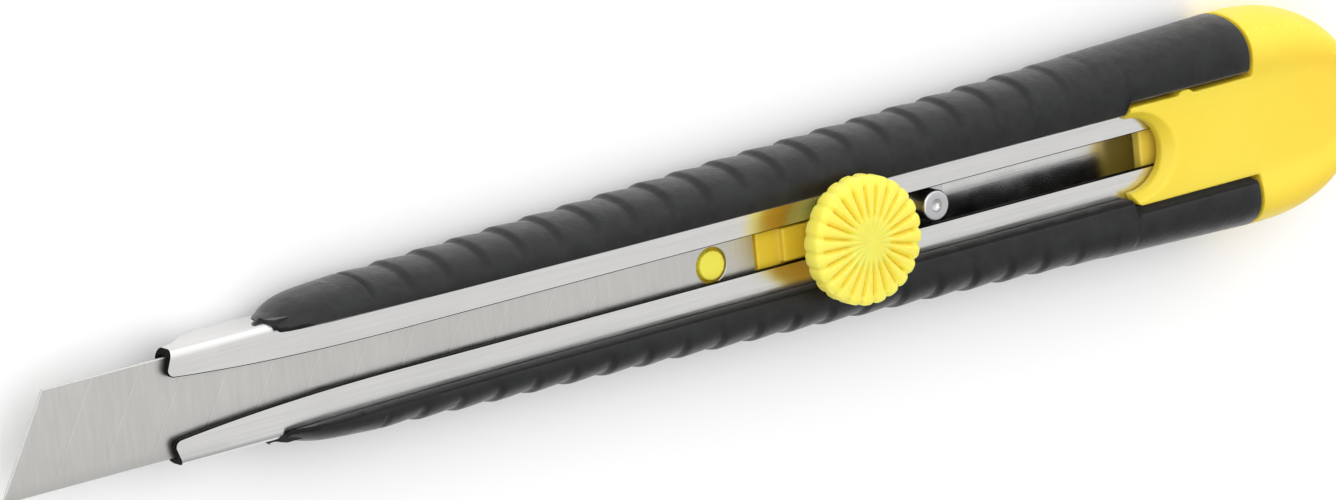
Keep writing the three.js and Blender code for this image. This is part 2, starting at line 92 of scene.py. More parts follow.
# ---------- meshes ----------
def loft(rings):
    """Vertices and faces of closed rings of points joined one to the next, with both ends closed."""
    n = len(rings[0])
    verts = [p for ring in rings for p in ring]
    faces = []
    for i in range(len(rings) - 1):
        for j in range(n):
            k = (j + 1) % n
            faces.append((i * n + j, i * n + k, (i + 1) * n + k, (i + 1) * n + j))
    faces.append(tuple(range(n)))
    faces.append(tuple(reversed(range((len(rings) - 1) * n, len(rings) * n))))
    return verts, faces


def circle(x, y, radius, z, sides):
    angles = [2 * math.pi * i / sides for i in range(sides)]
    return [(x + radius * math.cos(a), y + radius * math.sin(a), z) for a in angles]


def box_mesh(x0, x1, y0, y1, z0, z1):
    rings = [[(x, y0, z0), (x, y1, z0), (x, y1, z1), (x, y0, z1)] for x in (x0, x1)]
    return loft(rings)


def post_mesh(x, y, radius, z0, z1):
    return loft([circle(x, y, radius, z, 64) for z in (z0, z1)])


def slab_mesh(outline, z0, z1):
    return loft([[(x, y, z) for x, y in outline] for z in (z0, z1)])


def raw_mesh(name, parts):
    """One mesh, in millimetres, of several closed bodies given as (vertices, faces)."""
    bm = bmesh.new()
    for verts, faces in parts:
        made = [bm.verts.new(v) for v in verts]
        for f in faces:
            bm.faces.new([made[i] for i in f])
    bmesh.ops.remove_doubles(bm, verts=bm.verts, dist=1e-5)
    bmesh.ops.dissolve_degenerate(bm, edges=bm.edges, dist=1e-6)
    bmesh.ops.recalc_face_normals(bm, faces=bm.faces)
    mesh = bpy.data.meshes.new(name)
    bm.to_mesh(mesh)
    bm.free()
    return mesh


def apply_modifiers(mesh, modifiers):
    """The mesh as the modifiers leave it. Each is (type, {setting: value})."""
    worker = bpy.data.objects.new("worker", mesh)
    bpy.context.scene.collection.objects.link(worker)
    for kind, settings in modifiers:
        modifier = worker.modifiers.new(kind.lower(), kind)
        for key, value in settings.items():
            setattr(modifier, key, value)
    bpy.context.view_layer.update()
    evaluated = worker.evaluated_get(bpy.context.evaluated_depsgraph_get())
    result = bpy.data.meshes.new_from_object(evaluated)
    bpy.data.objects.remove(worker)
    return result


def boolean(mesh, cutter_parts, operation="DIFFERENCE"):
    cutter = bpy.data.objects.new("cutter", raw_mesh("cutter", cutter_parts))
    bpy.context.scene.collection.objects.link(cutter)
    settings = {"object": cutter, "operation": operation, "solver": "EXACT"}
    result = apply_modifiers(mesh, [("BOOLEAN", settings)])
    bpy.data.objects.remove(cutter)
    return result


def piece(name, mesh, materials, body, node, sharp_deg=30):
    """Puts a millimetre mesh into the scene in metres, riding on a body in place of a CAD node.

    The faces keep the numbers of the materials that they were given. Edges past sharp_deg stay sharp.
    """
    mesh.name = name
    mesh.transform(Matrix.Scale(MM, 4))
    marks = [face.material_index for face in mesh.polygons]
    mesh.materials.clear()
    for material in materials:
        mesh.materials.append(material)
    mesh.polygons.foreach_set("material_index", marks)
    mesh.polygons.foreach_set("use_smooth", [True] * len(mesh.polygons))
    mesh.set_sharp_from_angle(angle=math.radians(sharp_deg))
    obj = bpy.data.objects.new(name, mesh)
    bpy.context.scene.collection.objects.link(obj)
    weighted = obj.modifiers.new("weighted_normals", "WEIGHTED_NORMAL")
    weighted.keep_sharp = True
    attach(obj, body)
    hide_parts(node)


# ---------- materials ----------
class Nodes:
    """Builds one node material."""

    def __init__(self, name):
        self.material = bpy.data.materials.new(name)
        self.material.use_nodes = True
        self.tree = self.material.node_tree
        self.shader = self.tree.nodes["Principled BSDF"]
        self.place = self.tree.nodes.new("ShaderNodeTexCoord").outputs["Object"]

    def link(self, a, b):
        self.tree.links.new(a, b)

    def stretched(self, scale):
        mapping = self.tree.nodes.new("ShaderNodeMapping")
        mapping.inputs["Scale"].default_value = scale
        self.link(self.place, mapping.inputs["Vector"])
        return mapping.outputs["Vector"]

    def noise(self, scale, detail=3.0, rough=0.55, stretch=(1, 1, 1)):
        """Noise whose features are about 1/scale metres across."""
        node = self.tree.nodes.new("ShaderNodeTexNoise")
        node.inputs["Scale"].default_value = scale
        node.inputs["Detail"].default_value = detail
        node.inputs["Roughness"].default_value = rough
        self.link(self.stretched(stretch), node.inputs["Vector"])
        return node.outputs["Fac"]

    def ranged(self, value, low, high, from_low=0.3, from_high=0.7):
        node = self.tree.nodes.new("ShaderNodeMapRange")
        node.inputs["From Min"].default_value = from_low
        node.inputs["From Max"].default_value = from_high
        node.inputs["To Min"].default_value = low
        node.inputs["To Max"].default_value = high
        self.link(value, node.inputs["Value"])
        return node.outputs["Result"]

    def blend(self, factor, a, b):
        """Mixes two colours, each an output socket or (r, g, b)."""
        node = self.tree.nodes.new("ShaderNodeMix")
        node.data_type = "RGBA"
        self.link(factor, node.inputs[0])
        for socket, value in ((node.inputs[6], a), (node.inputs[7], b)):
            if isinstance(value, tuple):
                socket.default_value = (*value, 1)
            else:
                self.link(value, socket)
        return node.outputs[2]

    def pointiness(self):
        return self.tree.nodes.new("ShaderNodeNewGeometry").outputs["Pointiness"]

    def bump(self, height, strength, distance, before=None):
        node = self.tree.nodes.new("ShaderNodeBump")
        node.inputs["Strength"].default_value = strength
        node.inputs["Distance"].default_value = distance
        self.link(height, node.inputs["Height"])
        if before is not None:
            self.link(before, node.inputs["Normal"])
        return node.outputs["Normal"]

    def done(self, colour, roughness, normal, metallic=0.0, **plain):
        """Fills the shader's inputs. plain holds further constant inputs, with _ for a space."""
        shader = self.shader.inputs
        self.link(colour, shader["Base Color"])
        self.link(roughness, shader["Roughness"])
        self.link(normal, shader["Normal"])
        shader["Metallic"].default_value = metallic
        for key, value in plain.items():
            shader[key.replace("_", " ")].default_value = value
        return self.material


def srgb(r, g, b):
    """An 8-bit sRGB colour as linear values."""
    def one(c):
        c /= 255
        return c / 12.92 if c <= 0.04045 else ((c + 0.055) / 1.055) ** 2.4
    return one(r), one(g), one(b)


def steel(name, dark, light, roughness, stretch, scratch=0.35):
    """Rolled or ground steel: fine lines across the axes with the larger stretch, and faint smears."""
    m = Nodes(name)
    lines = m.noise(1.0, 4, 0.6, stretch)
    smears = m.noise(90, 3, 0.6)
    colour = m.blend(m.ranged(lines, 0.25, 0.75), dark, light)
    colour = m.blend(m.ranged(smears, 0.0, 0.35), colour, dark)
    rough = m.ranged(m.noise(160, 4, 0.6), roughness - 0.06, roughness + 0.08)
    normal = m.bump(lines, scratch, 0.000012)
    normal = m.bump(smears, 0.25, 0.00006, normal)
    return m.done(colour, rough, normal, 1.0)


def moulded(name, deep, pale, roughness, grain=0.25, glow=0.0):
    """Moulded plastic: soft colour flow, a fine grain, paler worn edges and a painted shade that deepens the
    colour in its grooves.

    glow is the share of light that spreads inside the plastic.
    """
    m = Nodes(name)
    worn = tuple(min(1.0, c * 1.12) for c in pale)
    # painted shade: the deep colour darkened in concave places, where shade falls
    groove_painted_shade = tuple(c * 0.72 for c in deep)
    colour = m.blend(m.ranged(m.noise(55, 3, 0.5), 0.0, 0.8), deep, pale)
    colour = m.blend(m.ranged(m.pointiness(), 0.0, 0.5, 0.52, 0.6), colour, worn)
    colour = m.blend(m.ranged(m.pointiness(), 0.7, 0.0, 0.42, 0.49), colour, groove_painted_shade)
    if glow:
        m.shader.inputs["Subsurface Weight"].default_value = glow
        m.shader.inputs["Subsurface Radius"].default_value = (1.0, 0.6, 0.12)
        m.shader.inputs["Subsurface Scale"].default_value = 0.006
    rough = m.ranged(m.noise(420, 4, 0.6), roughness - 0.06, roughness + 0.08)
    normal = m.bump(m.noise(5200, 2, 0.5), grain, 0.00002)
    normal = m.bump(m.noise(140, 2, 0.5), 0.2, 0.00008, normal)
    return m.done(colour, rough, normal)


def rubber(name, deep, pale, roughness):
    """Soft grip material: an eroded matt grain, paler crests and a slight sheen."""
    m = Nodes(name)
    pale_crest = tuple(c * 1.5 for c in pale)
    colour = m.blend(m.ranged(m.noise(420, 5, 0.7), 0.0, 1.0, 0.38, 0.62), deep, pale)
    colour = m.blend(m.ranged(m.pointiness(), 0.0, 0.4, 0.5, 0.56), colour, pale_crest)
    rough = m.ranged(m.noise(900, 3, 0.6), roughness - 0.07, roughness + 0.09)
    normal = m.bump(m.noise(4200, 3, 0.6), 0.45, 0.00003)
    normal = m.bump(m.noise(900, 4, 0.65), 0.5, 0.0001, normal)
    return m.done(colour, rough, normal, Sheen_Weight=0.3, Sheen_Roughness=0.35, Specular_IOR_Level=0.3)


# how often the steel's lines cross each axis, in one metre
ROLLED = (60, 4200, 4200)
GROUND = (2600, 260, 900)
PLATED = (900, 900, 900)
TURNED = (900, 900, 4200)

blade_steel = steel("blade_steel", srgb(194, 193, 190), srgb(212, 211, 208), 0.32, GROUND, 0.3)
channel_steel = steel("channel_steel", srgb(212, 211, 210), srgb(234, 233, 232), 0.22, ROLLED)
# near-black steel: partly the darker sheared edge, mostly painted shade for the gap under the lips and
# painted dark reflection
cut_edge_painted_shade = steel("cut_edge_painted_shade", srgb(12, 12, 12), srgb(34, 33, 32), 0.6, ROLLED)
plated_steel = steel("plated_steel", srgb(188, 188, 190), srgb(214, 214, 215), 0.22, PLATED, 0.2)
brass = steel("insert_brass", srgb(150, 116, 54), srgb(192, 156, 84), 0.3, TURNED)
cap_plastic = moulded("cap_plastic", srgb(242, 205, 50), srgb(247, 214, 66), 0.42, glow=0.35)
# the cap's plastic again, paler: painted light for the plug, which lies in shade
plug_painted_light_plastic = moulded("plug_painted_light_plastic", srgb(238, 206, 68), srgb(246, 216, 84), 0.42)
wheel_plastic = moulded("wheel_plastic", srgb(250, 221, 80), srgb(254, 230, 102), 0.4, glow=0.7)
# the wheel's plastic again for its underside, oranger and glowing more: painted light
painted_glow_underside = moulded("painted_glow_underside", srgb(250, 212, 60), srgb(254, 220, 78), 0.5, glow=0.8)
# one moulding in two colours: the body deeper amber as painted shade under the wheel, the boss paler as
# painted light
slider_plastic = moulded("slider_plastic", srgb(238, 196, 44), srgb(248, 216, 66), 0.42, glow=0.35)
boss_painted_light_plastic = moulded("boss_painted_light_plastic", srgb(246, 226, 64), srgb(252, 236, 90), 0.42, glow=0.35)
core_plastic = moulded("core_plastic", srgb(30, 31, 32), srgb(40, 41, 42), 0.5, 0.5)
grip_rubber = rubber("grip_rubber", srgb(15, 16, 17), srgb(27, 28, 29), 0.5)
# near-black rubber for the grips' inner edges: painted shade, not dirt
painted_shade_rubber = rubber("painted_shade_rubber", srgb(3, 3, 3), srgb(9, 9, 9), 0.75)

# ---------- blade ----------
SEGMENT_PITCH = 5.0
SCORE_LINES = 12
SCORE_DEPTH = 0.015
# (place along the blade from the score's middle, share of its depth)
SCORE_SHAPE = ((-0.14, 0.0), (-0.06, 0.75), (0.0, 1.0), (0.06, 0.75), (0.14, 0.0))
SEGMENT_ANGLE = math.radians(60)
BEVEL_WIDTH = 1.2
EDGE_LAND = 0.04  # thickness left at the cutting edge
BLADE_SOFT = 0.05  # how far the blade's spine, ends and hole are broken
BLADE_HOLE_X = 75.3
BLADE_HOLE_Y = -0.25
BLADE_HOLE_R = 1.65


def blade_columns():
    """(place along the cutting edge, depth of the score there) of every line of points across the blade."""
    length = BLADE_HI.x - BLADE_LO.x
    columns = [(0.0, 0.0), (BLADE_SOFT, 0.0)]
    for i in range(1, SCORE_LINES + 1):
        columns += [(i * SEGMENT_PITCH + x, d * SCORE_DEPTH) for x, d in SCORE_SHAPE]
    return columns + [(length - BLADE_SOFT, 0.0), (length, 0.0)]


def hole_cutter(face, back):
    """A cutter for the blade's hole that breaks its edges on both faces."""
    reach = 0.5
    flare = ((BLADE_HOLE_R + reach, face - BLADE_SOFT + reach), (BLADE_HOLE_R, face - BLADE_SOFT),
             (BLADE_HOLE_R, back + BLADE_SOFT), (BLADE_HOLE_R + reach, back + BLADE_SOFT - reach))
    return loft([circle(POINT_X + BLADE_HOLE_X, BLADE_HOLE_Y, r, z, 72) for r, z in flare])


def blade_mesh():
    length = BLADE_HI.x - BLADE_LO.x
    width = BLADE_HI.y - BLADE_LO.y
    slant = width / math.tan(SEGMENT_ANGLE)
    face, back = BLADE_HI.z, BLADE_LO.z
    middle = (face + back) / 2
    # (across the blade from the cutting edge, front height, back height)
    rows = (
        (0.0, middle + EDGE_LAND / 2, middle - EDGE_LAND / 2),
        (BEVEL_WIDTH, face, back),
        (width * 0.5, face, back),
        (width - BLADE_SOFT, face, back),
        (width, face - BLADE_SOFT, back + BLADE_SOFT),
    )
    square_from = SCORE_LINES * SEGMENT_PITCH + 1  # from here the slant dies out towards the square end
    rings = []
    for s, depth in blade_columns():
        lean = clamp01((length - s) / (length - square_from))
        broken = BLADE_SOFT if s in (0.0, length) else 0.0
        front, rear = [], []
        for across, top, bottom in rows:
            x = BLADE_LO.x + s + slant * across / width * lean
            y = BLADE_LO.y + across
            most = (top - bottom) / 3
            front.append((x, y, top - min(depth, most) - min(broken, most)))
            rear.append((x, y, bottom + min(broken, most)))
        rings.append(front + rear[::-1])
    return boolean(raw_mesh("blade", [loft(rings)]), [hole_cutter(face, back)])


# ---------- steel channel ----------
SHEET = 0.6
SLOT_HALF_WIDTH = 1.7
BEND_RADIUS = 0.45  # of the sheet's middle line
NOSE_SLOT_HALF_WIDTH = 2.85
FLARE_LENGTH = 25.0
NOSE_SLANT_FROM_Y = 2.0
NOSE_SLANT = 0.36  # how fast the nose's corners fall back
NOSE_SLANT_LENGTH = 14.0  # the slant of the sections dies out over this length
CORNER_R = 0.9  # of the lips' front corners
CUT_EDGE_R = 0.09
END_ROUND = 0.07
SAME_HEIGHT = 0.03  # heights closer than this count as one
PINCH_LENGTH = 5.4  # the nose is pressed flatter over this length
PINCH_LIFT = 2.4


def pinched(x, z):
    """Lifts the channel's back towards the blade at the nose, and leaves the lips as they are."""
    if z > (CHANNEL_LO.z + CHANNEL_HI.z) / 2:
        return z
    return z + PINCH_LIFT * (1 - smoothstep((x - CHANNEL_LO.x) / PINCH_LENGTH))


def slot_half(x):
    """Half of the slot's width at x, wider where it opens at the nose."""
    t = clamp01((x - CHANNEL_LO.x) / FLARE_LENGTH)
    return mix(NOSE_SLOT_HALF_WIDTH, SLOT_HALF_WIDTH, 1 - (1 - t) ** 2.2)


def sheet_line(slot):
    """The middle line of the sheet's section, from lip to lip, as (y, z, normal y, normal z)."""
    half = CHANNEL_HI.y - SHEET / 2
    top, bottom = CHANNEL_HI.z - SHEET / 2, CHANNEL_LO.z + SHEET / 2
    r = BEND_RADIUS
    points = [(slot, top, 0, 1), (mix(slot, half - r, 0.5), top, 0, 1)]
    for cy, cz, a0 in ((half - r, top - r, 90), (half - r, bottom + r, 0)):
        for i in range(7):
            a = math.radians(a0 - 15 * i)
            points.append((cy + r * math.cos(a), cz + r * math.sin(a), math.cos(a), math.sin(a)))
    points.append((0, bottom, 0, -1))
    return points + [(-y, z, -ny, nz) for y, z, ny, nz in reversed(points[:-1])]


def channel_ring(x, slot, thin=0.0):
    """One section of the sheet. thin takes a little off all round, for the rounded ends."""
    half = SHEET / 2 - thin
    line = sheet_line(slot + thin)
    outer = [(y + ny * half, z + nz * half) for y, z, ny, nz in line]
    inner = [(y - ny * half, z - nz * half) for y, z, ny, nz in line]
    edge = []
    for side, row in ((1, 0), (-1, -1)):
        y = side * (slot + thin)
        top, bottom = outer[row][1], inner[row][1]
        edge.append([(y, bottom + CUT_EDGE_R), (y, (top + bottom) / 2), (y, top - CUT_EDGE_R)])
        outer[row] = (y + side * CUT_EDGE_R, top)
        inner[row] = (y + side * CUT_EDGE_R, bottom)
    fade = clamp01(1 - (x - CHANNEL_LO.x) / NOSE_SLANT_LENGTH)
    ring = []
    for y, z in outer + edge[1][::-1] + inner[::-1] + edge[0]:
        back = NOSE_SLANT * max(0.0, abs(y) - NOSE_SLANT_FROM_Y)
        ring.append((x + back * fade, y, pinched(x, z)))
    return ring


def channel_stations():
    """(x, thin) along the channel: close together round the corners, the pinch and the flare."""
    x0, x1 = CHANNEL_LO.x, CHANNEL_HI.x
    places = [x0 + END_ROUND]
    places += [x0 + CORNER_R * t for t in (0.15, 0.3, 0.5, 0.75, 1.0)]
    places += [x0 + 1.3 + i * 0.4 for i in range(12)]
    places += [x0 + 6.5 + i * 1.5 for i in range(17)]
    places += [mix(x0 + 32, x1, i / 12) for i in range(12)]
    places += [x1 - END_ROUND]
    return [(x0, END_ROUND)] + [(x, 0.0) for x in places] + [(x1, END_ROUND)]


def channel_mesh():
    rings = []
    for x, thin in channel_stations():
        t = clamp01((x - CHANNEL_LO.x) / CORNER_R)
        rounding = CORNER_R * (1 - math.sqrt(max(0.0, 1 - (1 - t) ** 2)))
        rings.append(channel_ring(x, slot_half(x) + rounding, thin))
    return raw_mesh("channel", [loft(rings)])


def mark_cut_edges_and_painted_shade(mesh):
    """Gives the second material, near-black steel, to the sheet's cut edges, the undersides of the lips and
    the faces that look along the knife. On the cut edges it is partly the darker sheared steel and partly
    painted shade; elsewhere it is painted shade and painted dark reflection.
    """
    low, high = CHANNEL_HI.z - SHEET - SAME_HEIGHT, CHANNEL_HI.z - SAME_HEIGHT
    for face in mesh.polygons:
        c, n = face.center, face.normal
        in_lip = low < c.z < high and abs(c.y) < CHANNEL_HI.y - SHEET
        along_slot = in_lip and abs(n.y) > 0.6 and n.y * c.y < 0
        under_lip = in_lip and n.z < -0.5
        if along_slot or under_lip or abs(n.x) > 0.35:
            face.material_index = 1


# ---------- grips ----------
# (length from the grips' front tips, half of the handle's width)
PLAN = ((0, 5.6), (1, 5.63), (1.7, 5.71), (2.3, 5.86), (3, 6.1), (3.8, 6.34), (4.8, 6.54), (6.2, 6.7),
        (8.6, 6.85), (10.6, 6.97))
TIP_ROUND_LENGTH = 7.0  # the underside and the face round off over this length
TIP_UNDER_LIFT = 4.6
TIP_TOP_DROP = 1.6
TIP_CUT_FROM = 0.3  # the face's slanted front edge starts here, from the tip
TIP_CUT_Y = 6.1
TIP_CUT_SLANT = 1.47
FRONT_TOP_Z = 8.4
MIDDLE_HEIGHT = 0.95  # of the handle's section, as a share of the height of its crests
INNER_Y = 3.97  # edge of the grips beside the slot
INNER_FLARE = 0.63  # the edge beside the slot stands further out at the front
INNER_FLARE_LENGTH = 16.0
BAY_Y = 5.05  # edge of the grips beside the cap's tongue
BAY_START = 120.7
RIDGE_START = 38.0
RIDGE_PITCH = 4.0
RIDGE_COUNT = 21
RIDGE_DEPTH = 0.3
RIDGE_RISE = 0.75  # length of each ridge's steep face
RIDGE_FADE_FROM = 108.0  # the ridges die out between here and the last one
RIDGE_INNER_GAP = 0.4  # on the face they start this far from the inner edge
RIDGE_FULL_AT = 0.85  # and have their full depth at this share of the half-width
RIDGE_UNDER_FADE = 1.6  # at the underside they die out over this height
FACE_FROM = 0.6  # share of the height above which the surface counts as the face
WALL_Y = CHANNEL_HI.y + FIT
WALL_TOP_Z = CHANNEL_HI.z + PLAY
CORE_Y = CORE_HI.y + FIT
CORE_TOP_Z = CORE_HI.z + FIT


def bezier(p0, p1, p2, p3, t):
    u = 1 - t
    a, b, c, d = u ** 3, 3 * u * u * t, 3 * u * t * t, t ** 3
    return a * p0[0] + b * p1[0] + c * p2[0] + d * p3[0], a * p0[1] + b * p1[1] + c * p2[1] + d * p3[1]


def handle_curve():
    """Half of the handle's section, 1 wide and 1 high, from the flat underside round to the middle."""
    points = [(0.0, 0.0), (0.35, 0.0), (0.6, 0.0)]
    points += [bezier((0.7, 0), (0.9, 0), (1, 0.19), (1, 0.42), i / 14) for i in range(15)]
    points += [bezier((1, 0.42), (1, 0.76), (0.88, 1), (0.66, 1), i / 16) for i in range(1, 16)]
    # the crest runs into the middle by a soft bend
    points += [bezier((0.66, 1), (0.56, 1), (0.5, 0.95), (0.36, MIDDLE_HEIGHT), i / 8) for i in range(9)]
    return points + [(0.2, MIDDLE_HEIGHT), (0.0, MIDDLE_HEIGHT)]


CURVE = handle_curve()


def half_width(x):
    """Half of the handle's width at x, straight between the points of the plan."""
    along = x - GRIP_LO.x
    plan = PLAN + ((GRIP_HI.x - GRIP_LO.x, GRIP_HI.y),)
    i = 1
    while i < len(plan) - 1 and along >= plan[i][0]:
        i += 1
    (a0, w0), (a1, w1) = plan[i - 1], plan[i]
    return mix(w0, w1, (along - a0) / (a1 - a0))


def tip_rounding(x):
    """1 at the grips' front tips, falling to 0 where the handle has its full height."""
    t = clamp01((x - GRIP_LO.x) / TIP_ROUND_LENGTH)
    return 1 - math.sqrt(1 - (1 - t) ** 2)


def top_z(x):
    straight = mix(FRONT_TOP_Z, GRIP_HI.z, (x - GRIP_LO.x) / (GRIP_HI.x - GRIP_LO.x))
    return straight - TIP_TOP_DROP * tip_rounding(x)


def under_z(x):
    return GRIP_LO.z + TIP_UNDER_LIFT * tip_rounding(x)


def ridge_drop(x):
    """How far the grip stands below the ridge tops: scales with a steep, rounded face towards the blade."""
    along = (x - POINT_X - RIDGE_START) / RIDGE_PITCH
    if along <= 0 or along >= RIDGE_COUNT:
        return 0.0
    t = along - math.floor(along)
    rise = RIDGE_RISE / RIDGE_PITCH
    shape = 1 - smoothstep(t / rise) if t < rise else ((t - rise) / (1 - rise)) ** 1.4
    last = RIDGE_START + RIDGE_COUNT * RIDGE_PITCH
    fade = 1 - smoothstep((x - POINT_X - RIDGE_FADE_FROM) / (last - RIDGE_FADE_FROM))
    return RIDGE_DEPTH * shape * fade


def inner_edge(x):
    """Where the grip's face ends beside the slot: slanted at the front, wider beside the tongue."""
    along = x - GRIP_LO.x
    if x - POINT_X > BAY_START:
        return BAY_Y
    edge = INNER_Y + INNER_FLARE * math.exp(-along / INNER_FLARE_LENGTH)
    return max(edge, min(TIP_CUT_Y, TIP_CUT_Y - (along - TIP_CUT_FROM) * TIP_CUT_SLANT))


def wall(x):
    """The grip's wall beside the channel, wider round the core."""
    if x > CORE_LO.x - FIT:
        return CORE_Y
    return WALL_Y


def evenly_spaced(points, count):
    """count points at even distances along a line of points."""
    lengths = [0.0]
    for (y0, z0), (y1, z1) in zip(points, points[1:]):
        lengths.append(lengths[-1] + math.hypot(y1 - y0, z1 - z0))
    spread, i = [], 0
    for k in range(count):
        at = lengths[-1] * k / (count - 1)
        while i < len(points) - 2 and lengths[i + 1] < at:
            i += 1
        t = (at - lengths[i]) / max(1e-9, lengths[i + 1] - lengths[i])
        spread.append((mix(points[i][0], points[i + 1][0], t), mix(points[i][1], points[i + 1][1], t)))
    return spread


def clipped_curve(w, height, base, y_low, y_in):
    """The handle's outer curve from the grip's wall at the bottom to its inner edge on the face."""
    points = [(y * w, base + z * height) for y, z in CURVE]
    kept = []
    for (y0, z0), (y1, z1) in zip(points, points[1:]):
        rising = y1 >= y0
        limit = y_low if rising else y_in
        if (rising and y1 < limit) or (not rising and y0 <= limit):
            continue
        if rising and y0 < limit:
            t = (limit - y0) / (y1 - y0)
            y0, z0 = limit, mix(z0, z1, t)
        if not kept:
            kept.append((y0, z0))
        if not rising and y1 < limit:
            t = (y0 - limit) / (y0 - y1)
            kept.append((limit, mix(z0, z1, t)))
            break
        kept.append((y1, z1))
    return kept


OUTER_POINTS = 46
EDGE_FILLET = 0.28
PAINTED_SHADE_WIDTH = 0.26
LEAST_STEP = 0.02  # between the heights of the grip's inner steps


def grip_ring(x, side, y_in, y_wall, inset=0.0):
    """One section of a grip, its outer surface lowered between the ridges."""
    w = half_width(x)
    base = under_z(x)
    height = top_z(x) - base
    y_in = min(y_in, mix(y_wall, w, 0.7))  # leaves the narrow tip some face
    curve = evenly_spaced(clipped_curve(w, height, base, y_wall, y_in), OUTER_POINTS)
    drop = ridge_drop(x)
    ridges_from = y_in + RIDGE_INNER_GAP
    outer = []
    for i, (y, z) in enumerate(curve):
        y0, z0 = curve[max(0, i - 1)]
        y1, z1 = curve[min(len(curve) - 1, i + 1)]
        length = math.hypot(y1 - y0, z1 - z0) or 1
        ny, nz = (z1 - z0) / length, -(y1 - y0) / length
        on_face = z > base + FACE_FROM * height
        reach = smoothstep((y - ridges_from) / (RIDGE_FULL_AT * w - ridges_from)) if on_face else 1.0
        under = smoothstep((z - base) / RIDGE_UNDER_FADE)
        edge = clamp01((y - y_in) / EDGE_FILLET) if on_face else 1.0
        fillet = EDGE_FILLET * (1 - math.sqrt(1 - (1 - edge) ** 2))
        depth = drop * reach * under + fillet + inset
        outer.append((y - ny * depth, z - nz * depth))
    face_z = outer[-1][1]
    shelf = min(WALL_TOP_Z, face_z - LEAST_STEP)
    step = min(CORE_TOP_Z, shelf - LEAST_STEP)
    inner = [(y_in, shelf + 0.3 * (face_z - shelf)), (y_in, shelf)]
    ledge = max(y_in, WALL_Y)
    inner += [(ledge, shelf), (ledge, step), (y_wall, step), (y_wall, mix(step, outer[0][1], 0.5))]
    return [(x, side * y, z) for y, z in outer + inner]


# places of the sections: close together round the tip and on each ridge's steep face
TIP_STEPS = (0, 0.04, 0.1, 0.2, 0.35, 0.5, 0.7, 0.9, 1.1, 1.3, 1.5, 1.7, 1.9, 2.1, 2.3,
             2.5, 2.8, 3.1, 3.5, 4.0, 4.6, 5.2, 5.9, 6.6, 7.4, 8.2, 9.0, 9.8, 10.5)
RIDGE_STEPS = (0.0, 0.15, 0.3, 0.45, 0.6, 0.75, 0.9, 1.05, 1.2, 1.5, 1.9, 2.3, 2.7, 3.1, 3.45, 3.75)


def grip_stations():
    """(x, inset) along the grips. The inset rounds off the rear end."""
    x1 = GRIP_HI.x
    stations = [(GRIP_LO.x + d, 0.0) for d in TIP_STEPS]
    for i in range(RIDGE_COUNT):
        start = POINT_X + RIDGE_START + i * RIDGE_PITCH
        stations += [(start + d, 0.0) for d in RIDGE_STEPS]
    rear = POINT_X + RIDGE_START + RIDGE_COUNT * RIDGE_PITCH
    stations += [(mix(rear, x1 - 0.22, i / 10), 0.0) for i in range(11)]
    return stations + [(x1 - 0.1, 0.05), (x1 - 0.03, 0.13), (x1, 0.22)]


def mark_inner_edge(mesh):
    """Gives the grip's edge beside the steel the second material, a near-black rubber that is painted shade
    for the gap there.
    """
    for face in mesh.polygons:
        c = face.center
        if abs(c.y) - inner_edge(c.x) < PAINTED_SHADE_WIDTH and c.z > WALL_TOP_Z - 0.1:
            face.material_index = 1


def grip_mesh(side):
    """One grip. side is 1 for the spine's side and -1 for the cutting edge's."""
    rings = []
    bay = POINT_X + BAY_START
    core = CORE_LO.x - FIT
    previous = None
    for x, inset in grip_stations():
        for edge in (bay, core):  # two sections close together make each step of the inner side sharp
            if previous is not None and previous < edge <= x:
                for beside in (edge - 0.01, edge + 0.01):
                    rings.append(grip_ring(beside, side, inner_edge(beside), wall(beside)))
        rings.append(grip_ring(x, side, inner_edge(x), wall(x), inset))
        previous = x
    return raw_mesh("grip", [loft(rings)])


# ---------- handle core ----------
CORE_CHAMFER = 1.7


def rounded(outline, radii):
    """A closed outline with its corners rounded off, each by its own radius."""
    steps = 4
    result = []
    n = len(outline)
    for i, (corner, radius) in enumerate(zip(outline, radii)):
        p = Vector(corner)
        a, b = Vector(outline[i - 1]) - p, Vector(outline[(i + 1) % n]) - p
        angle = a.angle(b)
        cut = min(radius / math.tan(angle / 2), a.length * 0.49, b.length * 0.49)
        start, end = p + a.normalized() * cut, p + b.normalized() * cut
        for k in range(steps + 1):
            t = k / steps
            q = start.lerp(p, t).lerp(p.lerp(end, t), t)
            result.append((q.x, q.y))
    return result


def core_mesh():
    y, top = CORE_HI.y, CORE_HI.z
    channel_y, floor = CHANNEL_HI.y + FIT, CHANNEL_LO.z - FIT
    outline = [(-y + CORE_CHAMFER, 0), (y - CORE_CHAMFER, 0), (y, CORE_CHAMFER), (y, top), (channel_y, top),
               (channel_y, floor), (-channel_y, floor), (-channel_y, top), (-y, top), (-y, CORE_CHAMFER)]
    radii = (0.5, 0.5, 0.7, 0.15, 0.15, 0.2, 0.2, 0.15, 0.15, 0.7)
    section = rounded(outline, radii)
    stations = ((CORE_LO.x, 0.35), (CORE_LO.x + 0.1, 0.12), (CORE_LO.x + 0.35, 0.0),
                (CORE_HI.x - 0.1, 0.0), (CORE_HI.x, 0.1))
    rings = []
    for x, inset in stations:
        rings.append([(x, py * (1 - inset / y), pz + (inset * 0.6 if pz < floor / 2 else 0.0))
                      for py, pz in section])
    return raw_mesh("core", [loft(rings)])


